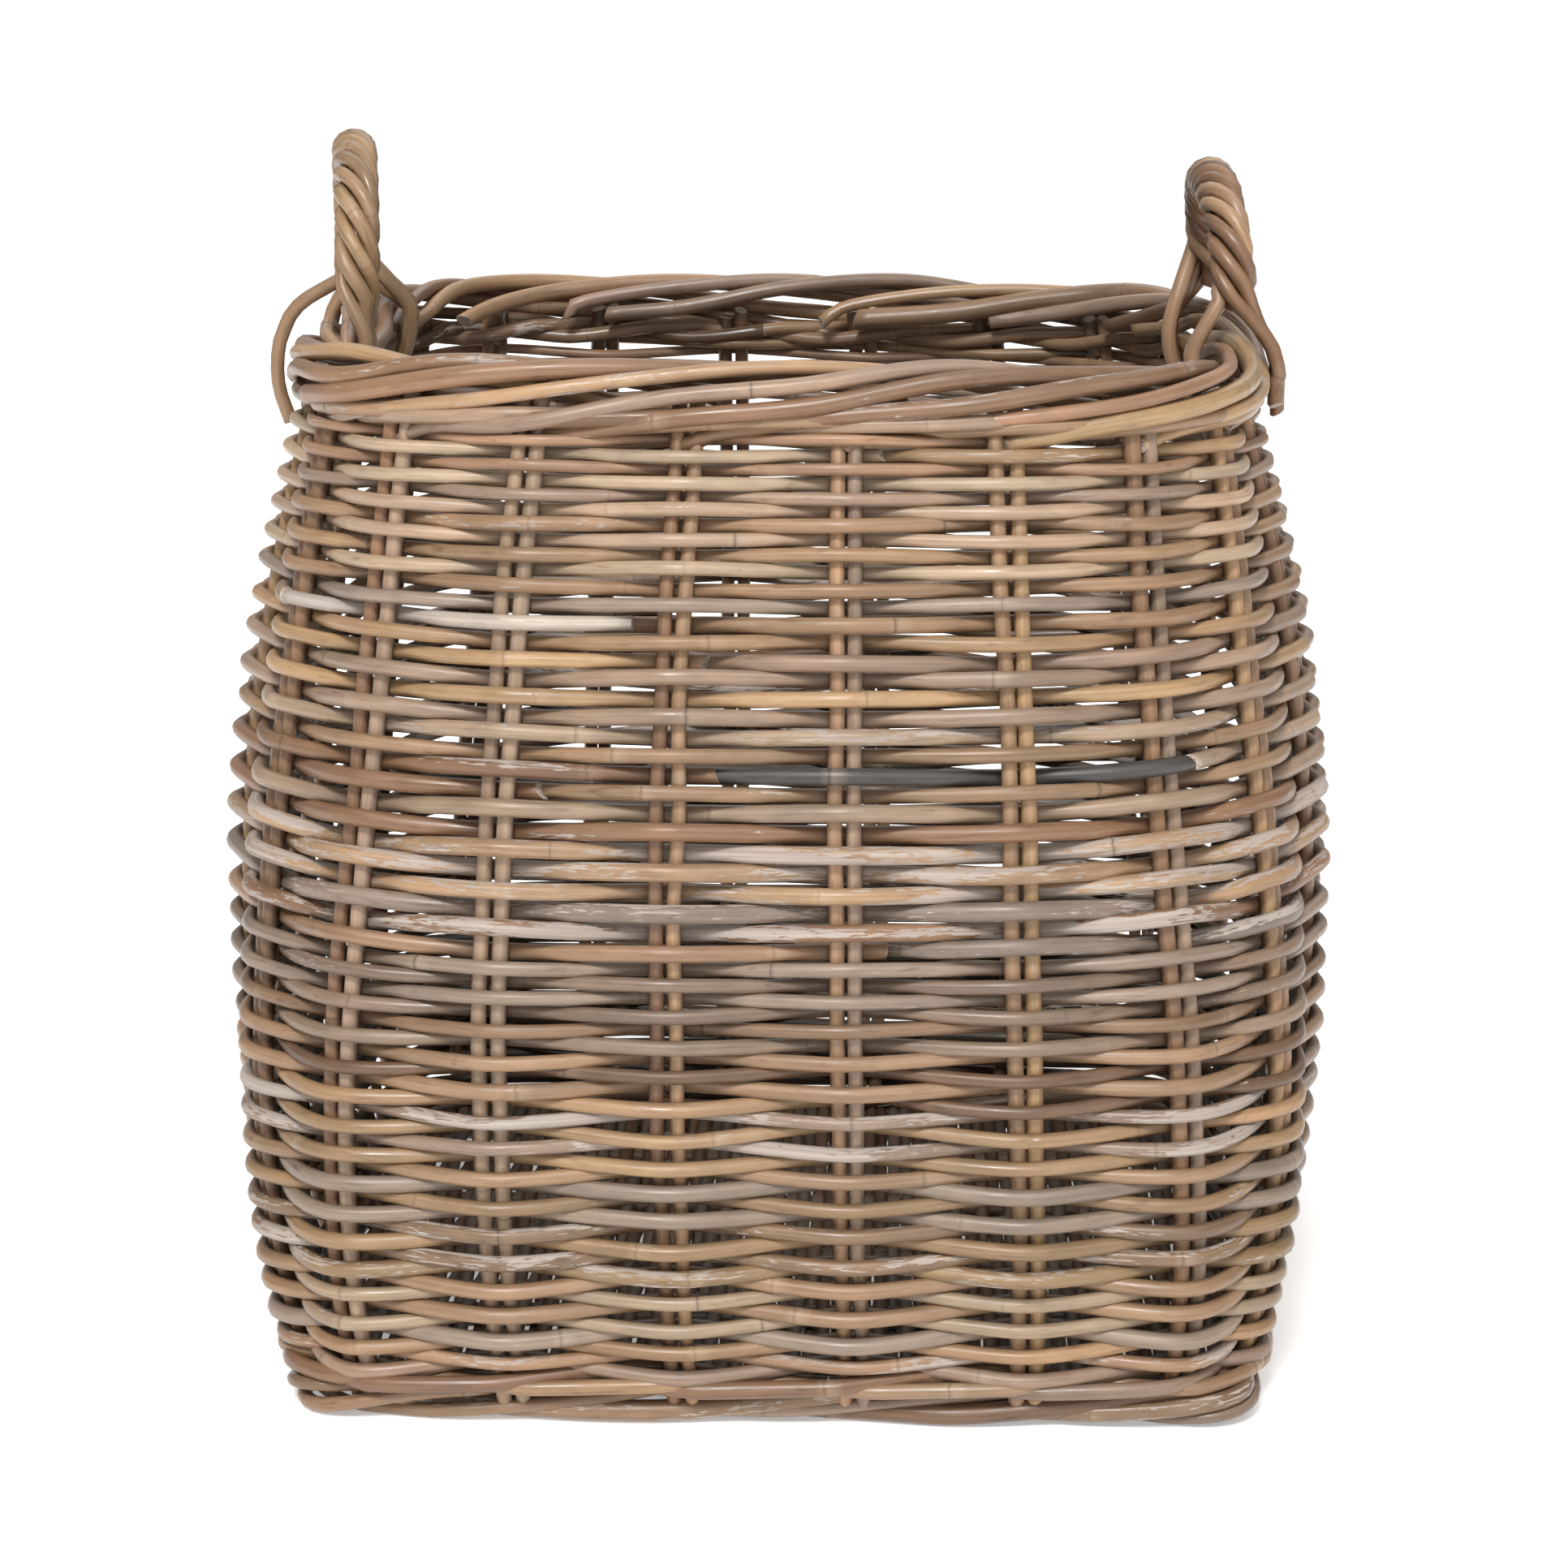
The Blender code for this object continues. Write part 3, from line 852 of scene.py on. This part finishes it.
def wale_canes(rng, height, radius, rise, bark):
    """Rods that each pass outside two stake pairs and inside one, rising as they go."""
    canes = []
    for rod in range(WALE_RODS):
        start = rod
        while start < STAKE_PAIRS + rod:
            end = min(start + WALE_RODS * int(rng.integers(2, 5)), STAKE_PAIRS + rod)
            stations = np.arange(start - WALE_OVERLAP, end + WALE_OVERLAP, WALE_STEP)
            phase = (stations - rod) / WALE_RODS
            swing = np.clip(0.25 - 1.1 * np.cos(math.tau * phase), -1, 1)
            # It falls back to its first height while it is hidden inside
            fall = np.clip(np.abs(np.mod(phase + 0.5, 1) - 0.5) / WALE_FALL, 0, 1)
            climb = rise * (np.mod(phase, 1) - 0.5) * fall
            size = radius * rng.uniform(*WALE_SIZES)
            out = swing * (STAKE_RADIUS + size + WALE_GAP)
            points, outward = on_wall(stations + 0.5, height + climb, out)
            tint, peel = pick_bark(rng, bark), rng.choice(WALE_PEEL)
            cuts = pick_cuts(rng, WALL_SLANT)
            canes.append(make_cane(rng, points, outward, size, tint, peel, WALE_PAINTED_SHADE, cuts))
            start = end
    return canes


def build_wales():
    rng = np.random.default_rng(SEEDS["wales"])
    for name, node, height, radius, rise, shade in WALES:
        canes = wale_canes(rng, height, radius, rise, shaded(BORDER_BARK, shade))
        add_piece(name, canes, "border_cane", [node])


def rim_wave(stations):
    """How much higher the rim runs than its own level: it is a little uneven, and highest at the back."""
    angle = math.tau * stations / STAKE_PAIRS
    return RIM_BACK_RISE * (1 - np.cos(angle)) + RIM_UNEVENNESS * np.sin(4 * angle + 1.0)


def on_rim(stations, heights, out, _radius):
    """Places round the rolled rim, which need no radius as the foot's do."""
    return on_wall(stations, rim_top - RIM_HALF_HEIGHT + heights + rim_wave(stations), out)


def on_foot(stations, heights, out, radius):
    """Places round the foot, which has sharper corners than the wall and keeps its canes above the floor."""
    side_stations = STAKE_PAIRS / len(SIDES)
    from_corner = np.abs(np.mod(stations, side_stations) - side_stations / 2)
    out = out + FOOT_CORNER_REACH * np.exp(-((from_corner / FOOT_CORNER_WIDTH) ** 2)) - FOOT_SIDE_INSET
    points, outward = on_wall(stations, np.maximum(heights, FOOT_CLEARANCE * radius))
    outward = unit(outward * (1.0, 1.0, 0.0))
    return points + out[:, None] * outward, outward


def border_canes(rng, knots, place, radius, bark, stations):
    """One cane for each station, all on the same route: knots of station, out and up."""
    canes = []
    for station in stations:
        route = np.array(knots, float)
        route[1:, 0] += rng.normal(0, STATION_SCATTER)
        route[:, 1:] += rng.normal(0, PLACE_SCATTER, route[:, 1:].shape)
        route[-1, 0] += rng.uniform(-END_SCATTER, END_SCATTER)
        route = smooth_path(route, BORDER_STEPS)
        size = radius * rng.choice(BORDER_SIZES)
        points, outward = place(station + 0.5 + route[:, 0], route[:, 2], route[:, 1], size)
        tint, peel = pick_bark(rng, bark), rng.choice(BORDER_PEEL)
        cuts = pick_cuts(rng, BORDER_SLANT)
        canes.append(make_cane(rng, points, outward, size, tint, peel, BORDER_PAINTED_SHADE, cuts))
    return canes


# Knots of the borders' canes: how many stations on, how far out and how far up
RIM_ROUTE = (
    (0.00, 0.0000, -0.0250),
    (0.20, 0.0010, -0.0190),
    (0.85, 0.0080, -0.0138),
    (1.70, 0.0118, -0.0066),
    (2.60, 0.0105, 0.0020),
    (3.50, 0.0036, 0.0088),
    (4.40, -0.0060, 0.0078),
    (5.20, -0.0112, 0.0005),
    (5.80, -0.0138, -0.0050),
)
FOOT_ROUTE = (
    (0.00, 0.0000, 0.0190),
    (0.10, -0.0020, 0.0130),
    (0.45, -0.0060, 0.0062),
    (1.05, 0.0010, 0.0053),
    (1.60, 0.0066, 0.0058),
    (2.40, 0.0052, 0.0122),
    (2.85, 0.0000, 0.0155),
    (3.15, -0.0060, 0.0165),
)


def build_border(rng, name, nodes, route, place, radius, bark):
    """One border as four pieces, each with the canes of one side."""
    quarter = STAKE_PAIRS // len(SIDES)
    for number, side in enumerate(SIDES):
        stations = [(number - 0.5) * quarter + step for step in range(quarter)]
        canes = border_canes(rng, route, place, radius, bark, stations)
        add_piece(f"{name}_{side}", canes, "border_cane", nodes)


def build_borders():
    rng = np.random.default_rng(SEEDS["borders"])
    bark = shaded(BORDER_BARK, RIM_SHADE)
    build_border(rng, "rim_roll", RIM_NODES, RIM_ROUTE, on_rim, RIM_CANE_RADIUS, bark)
    bark = shaded(BORDER_BARK, FOOT_SHADE)
    build_border(rng, "foot_roll", ["foot_border"], FOOT_ROUTE, on_foot, FOOT_CANE_RADIUS, bark)


# ---- The base ----


def base_rod(rng, ends, y, height):
    x = np.linspace(*ends, BASE_ROD_KNOTS)
    points = np.stack([x, y + waver(rng, x, BASE_ROD_WAVER), np.full(BASE_ROD_KNOTS, height)], axis=1)
    hint = np.tile(UPWARD, (BASE_ROD_KNOTS, 1))
    return make_cane(rng, points, hint, BASE_ROD_RADIUS, pick_bark(rng, BASE_BARK))


def base_strand(rng, x, sign, places, height):
    """A strand from front to back, over and under the sticks. The outermost are a little shorter."""
    past_corner = max(0.0, (abs(x) - BASE_CORNER_START) / BASE_CORNER_WIDTH)
    end = BASE_REACH * (1 - BASE_CORNER_INSET * past_corner**2)
    waves = [height + sign * (-1) ** step * BASE_WAVE for step in range(len(places))]
    route = smooth_path(np.stack([[-end, *places, end], [height, *waves, height]], axis=1), BASE_STEPS)
    y, z = route.T
    points = np.stack([x + waver(rng, y, BASE_STRAND_WAVER), y, z], axis=1)
    radius = BASE_STRAND_RADIUS * rng.uniform(0.95, 1.05)
    hint = np.tile(UPWARD, (len(points), 1))
    return make_cane(rng, points, hint, radius, pick_bark(rng, BASE_BARK), sides=BASE_STRAND_SIDES)


def build_base():
    rng = np.random.default_rng(SEEDS["base"])
    low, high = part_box("base_weave")
    height = (low[2] + high[2]) / 2
    places = []
    for number in range(BASE_STICKS):
        name = f"base_stick_{number + 1}"
        stick_low, stick_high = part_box(name)
        places.append((stick_low[1] + stick_high[1]) / 2)
        canes = []
        for step in (-1, 0, 1):
            ends = np.array([stick_low[0], stick_high[0]]) + rng.uniform(0.0, 0.004, 2) * (-1, 1)
            canes.append(base_rod(rng, ends, places[-1] + step * BASE_ROD_STEP, height))
        add_piece(f"base_rods_{number + 1}", canes, "base_cane", [name])
    canes = []
    for number, x in enumerate(np.linspace(-BASE_HALF_WIDTH, BASE_HALF_WIDTH, BASE_STRANDS)):
        canes.append(base_strand(rng, x, 1 if number % 2 else -1, places, height))
    add_piece("base_strands", canes, "base_cane", ["base_weave"])


# ---- The handles ----


def arch_line(side, lift):
    """The CAD bow's own middle line, and on down from each foot almost to the rim, evenly spaced."""
    points = unique_points(f"handle_{side}_bow")
    foot = rim_top + HANDLE_FOOT_HEIGHT
    above = points[points[:, 2] > foot - ARCH_FIT_MARGIN]
    angle = np.arctan2(above[:, 2] - foot, -above[:, 1])
    fits = np.polyfit(angle, above, ARCH_FIT_DEGREE)
    turned = np.linspace(0, math.pi, ARCH_POINTS)
    line = (turned[:, None] ** np.arange(ARCH_FIT_DEGREE, -1, -1)) @ fits
    line[:, 2] += lift * np.sin(turned)
    below = np.array((0.0, 0.0, HANDLE_FOOT_HEIGHT - ROPE_FOOT_HEIGHT))
    line = np.concatenate([line[:1] - below, line, line[-1:] - below])
    steps = np.linalg.norm(np.diff(line, axis=0), axis=1)
    shares = np.concatenate([[0], np.cumsum(steps)]) / steps.sum()
    even = np.linspace(0, 1, ROPE_KNOTS)
    return interpolated(line, shares, even)


def tail_knots(station, sign, aside, drop, bow):
    """A strand's end, from low on the wall up past the rolled border: sign is 1 outside and -1 inside."""
    heights = np.array((-drop, -drop * 0.72, -0.022, -0.010, -0.0005 + 1.2 * bow)) + rim_top
    out = sign * (np.array(TAIL_CLEARANCE) + bow * np.array(TAIL_BOW))
    points, _ = on_wall(np.full(len(heights), station), heights, out, aside)
    return points


def match_tails(angles, knot_turn, tails):
    """Gives each strand the tail that is nearest to its own place round the rope where it leaves it."""
    wanted = [math.atan2(aside, TAIL_START * sign) - knot_turn * loose for sign, aside, _, loose, _ in tails]

    def misfit(order):
        gaps = [math.remainder(angle - wanted[place], math.tau) for angle, place in zip(angles, order)]
        return sum(gap**2 for gap in gaps)

    best = min(itertools.permutations(range(len(tails))), key=misfit)
    return [tails[place] for place in best]


def rope_axes(centre):
    """The directions along a handle's middle line, out of the basket and across both."""
    forward = unit(np.gradient(centre, axis=0))
    outward = np.tile((math.copysign(1.0, centre[0, 0]), 0.0, 0.0), (len(centre), 1))
    across = unit(np.cross(forward, outward))
    return forward, np.cross(across, forward), across


def foot_tails(station, across, angles, knot_turn, tails):
    """The tail of each strand at the handle's foot there, as (early knots, path up the wall)."""
    sideways = wall_frames(np.array([station]), np.array([rim_top]))[1][0]
    sign = math.copysign(1, across @ sideways)
    matched = match_tails(angles * sign, knot_turn * sign, tails)
    return [(loose, tail_knots(station, side, aside, drop, bow)) for side, aside, drop, loose, bow in matched]


def bright_side(directions):
    """The side of a strand that faces forward and up, from the directions along it."""
    return unit(np.cross(directions, ROPE_BACKWARD))


def strand_path(number, centre, axes, front, back):
    """A strand's way up its front tail, round the rope's middle line and down its back tail."""
    (first, front_knots), (last, back_knots) = front, back
    outward, across = axes
    shares = np.linspace(0, 1, len(centre))
    turns = ROPE_STARTS[number] + ROPE_TWIST * shares
    distance = ROPE_HELIX_RADIUS * (1 + ROPE_SWELL * np.sin(ROPE_SWELL_RATE * shares + number))
    around = np.cos(turns)[:, None] * outward + np.sin(turns)[:, None] * across
    helix = centre + distance[:, None] * around
    return smooth_path([*front_knots, *helix[1 + first : -1 - last], *back_knots[::-1]], ROPE_STEPS)


def build_handle(side, middle, lift, front_tails, back_tails):
    """A handle of strands twisted round a core, at this station and lifted this far above the CAD's bow."""
    rng = np.random.default_rng(SEEDS["handles"] + middle)
    centre = arch_line(side, lift)
    forward, outward, across = rope_axes(centre)
    # The front foot is at the lower station on the right and at the higher one on the left
    ahead = HANDLE_REACH if middle < STAKE_PAIRS / 2 else -HANDLE_REACH
    knot_turn = ROPE_TWIST / (len(centre) - 1)
    fronts = foot_tails(middle - ahead, across[0], ROPE_STARTS, knot_turn, front_tails)
    backs = foot_tails(middle + ahead, across[-1], ROPE_STARTS + ROPE_TWIST, -knot_turn, back_tails)
    for number, (front, back) in enumerate(zip(fronts, backs)):
        path = strand_path(number, centre, (outward, across), front, back)
        hint = bright_side(np.gradient(path, axis=0))
        radius = STRAND_RADIUS * rng.uniform(*STRAND_SIZES)
        tint, cuts = pick_bark(rng, HANDLE_BARK), pick_cuts(rng, HANDLE_SLANT)
        cane = make_cane(rng, path, hint, radius, tint, cuts=cuts)
        # The CAD has one strand fewer, so the last one stands for two
        node = f"handle_{side}_strand_{min(number + 1, ROPE_STRANDS - 1)}"
        add_piece(f"handle_{side}_cane_{number + 1}", [cane], "handle_cane", [node])
    core = make_cane(rng, centre, bright_side(forward), ROPE_CORE_RADIUS, pick_bark(rng, HANDLE_BARK))
    add_piece(f"handle_{side}_core", [core], "handle_cane", [f"handle_{side}_bow"])


# Each strand's end: 1 outside or -1 inside, how far along the wall, how far down it, how many knots early
# it leaves the rope, and how far it bows out
RIGHT_FRONT_TAILS = (
    (1, -0.0075, 0.036, 0, 0.0),
    (1, 0.0, 0.040, 0, 0.0),
    (1, 0.0070, 0.037, 0, 0.0),
    (-1, -0.005, 0.06, 0, 0.0),
    (-1, 0.005, 0.07, 2, 0.0),
)
RIGHT_BACK_TAILS = (
    (1, -0.004, 0.040, 0, 0.0),
    (1, 0.004, 0.038, 0, 0.0),
    (-1, -0.0080, 0.05, 3, 0.002),
    (-1, 0.0, 0.06, 1, 0.0),
    (-1, 0.0080, 0.055, 0, 0.0),
)
LEFT_FRONT_TAILS = (
    (1, -0.010, 0.052, 2, 0.004),
    (-1, -0.009, 0.05, 0, 0.0),
    (-1, -0.003, 0.06, 0, 0.0),
    (-1, 0.003, 0.055, 0, 0.0),
    (-1, 0.009, 0.06, 0, 0.0),
)
LEFT_BACK_TAILS = (
    (1, -0.004, 0.040, 0, 0.0),
    (1, 0.004, 0.038, 0, 0.0),
    (-1, -0.0080, 0.05, 1, 0.001),
    (-1, 0.0, 0.06, 0, 0.0),
    (-1, 0.0080, 0.055, 2, 0.002),
)


def build_handles():
    build_handle("right", STAKE_PAIRS // 4, RIGHT_HANDLE_LIFT, RIGHT_FRONT_TAILS, RIGHT_BACK_TAILS)
    build_handle("left", 3 * STAKE_PAIRS // 4, 0.0, LEFT_FRONT_TAILS, LEFT_BACK_TAILS)


# ---- Stage ----

FLOOR_REACH = 6.0
FLOOR_LEVEL = -0.0005
FLOOR_WHITE = (0.93, 0.93, 0.93, 1.0)
FLOOR_ROUGHNESS = 0.9
FLOOR_GLOW = 0.33
WORLD_LIGHT, WORLD_SEEN = 0.30, 1.02
# Each sun: azimuth from straight behind the camera, elevation and spread in degrees, and strength
SUNS = {
    "key": (-9, 43, 12, 2.28),
    "soft": (8, 60, 60, 0.8),
    "fill": (18, 16, 70, 0.66),
    "back": (175, 50, 60, 0.75),
}
CAMERA_DISTANCE = 2.0
CAMERA_HEIGHT = 0.678
CAMERA_YAW, CAMERA_PITCH = 0.029, 0.206
CAMERA_LENS = 91.304345


def build_floor():
    mesh = bpy.data.meshes.new("floor")
    points = [(x, y, FLOOR_LEVEL) for y in (-FLOOR_REACH, FLOOR_REACH) for x in (-FLOOR_REACH, FLOOR_REACH)]
    mesh.from_pydata(points, [], [(0, 1, 3, 2)])
    floor = new_object("floor", mesh)
    material = bpy.data.materials.new("floor")
    material.use_nodes = True
    shader = material.node_tree.nodes["Principled BSDF"]
    shader.inputs["Base Color"].default_value = FLOOR_WHITE
    shader.inputs["Roughness"].default_value = FLOOR_ROUGHNESS
    shader.inputs["Emission Color"].default_value = (1, 1, 1, 1)
    shader.inputs["Emission Strength"].default_value = FLOOR_GLOW
    mesh.materials.append(material)


def build_world():
    """A soft studio light, which the camera sees as pure white."""
    world = bpy.data.worlds.new("studio")
    bpy.context.scene.world = world
    world.use_nodes = True
    world.node_tree.nodes.clear()
    graph = Graph(world.node_tree)
    seen = graph.node("ShaderNodeLightPath").outputs["Is Camera Ray"]
    strength = graph.range(seen, 0.0, 1.0, WORLD_LIGHT, WORLD_SEEN)
    background = graph.node("ShaderNodeBackground", {"Color": (1, 1, 1, 1), "Strength": strength})
    graph.node("ShaderNodeOutputWorld", {"Surface": background.outputs[0]})
    bpy.context.scene.view_settings.view_transform = "Standard"


def build_suns():
    for name, (azimuth, elevation, spread, strength) in SUNS.items():
        data = bpy.data.lights.new(name, "SUN")
        data.energy = strength
        data.angle = math.radians(spread)
        lamp = new_object(name, data)
        lamp.rotation_euler = (math.radians(90 - elevation), 0, math.radians(azimuth))


def build_camera():
    data = bpy.data.cameras.new("camera")
    data.lens = CAMERA_LENS
    camera = new_object("camera", data)
    ground = (CAMERA_DISTANCE * math.sin(CAMERA_YAW), -CAMERA_DISTANCE * math.cos(CAMERA_YAW))
    camera.location = (*ground, CAMERA_HEIGHT)
    camera.rotation_euler = (math.pi / 2 - CAMERA_PITCH, 0, CAMERA_YAW)
    bpy.context.scene.camera = camera


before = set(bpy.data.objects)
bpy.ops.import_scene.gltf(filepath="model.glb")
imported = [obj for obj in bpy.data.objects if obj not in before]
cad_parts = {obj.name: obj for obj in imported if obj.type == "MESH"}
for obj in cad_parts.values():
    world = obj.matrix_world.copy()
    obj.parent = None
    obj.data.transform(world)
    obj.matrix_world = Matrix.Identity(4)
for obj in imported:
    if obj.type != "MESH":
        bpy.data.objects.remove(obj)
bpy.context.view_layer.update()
stake_fits, stake_bottom, stake_top = read_stake_lines()
rim_top = max(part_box(node)[1][2] for node in RIM_NODES) - RIM_DROP
weave_rounds = round_heights()
build_stakes()
build_siding()
build_wales()
build_borders()
build_base()
build_handles()
build_floor()
build_world()
build_suns()
build_camera()
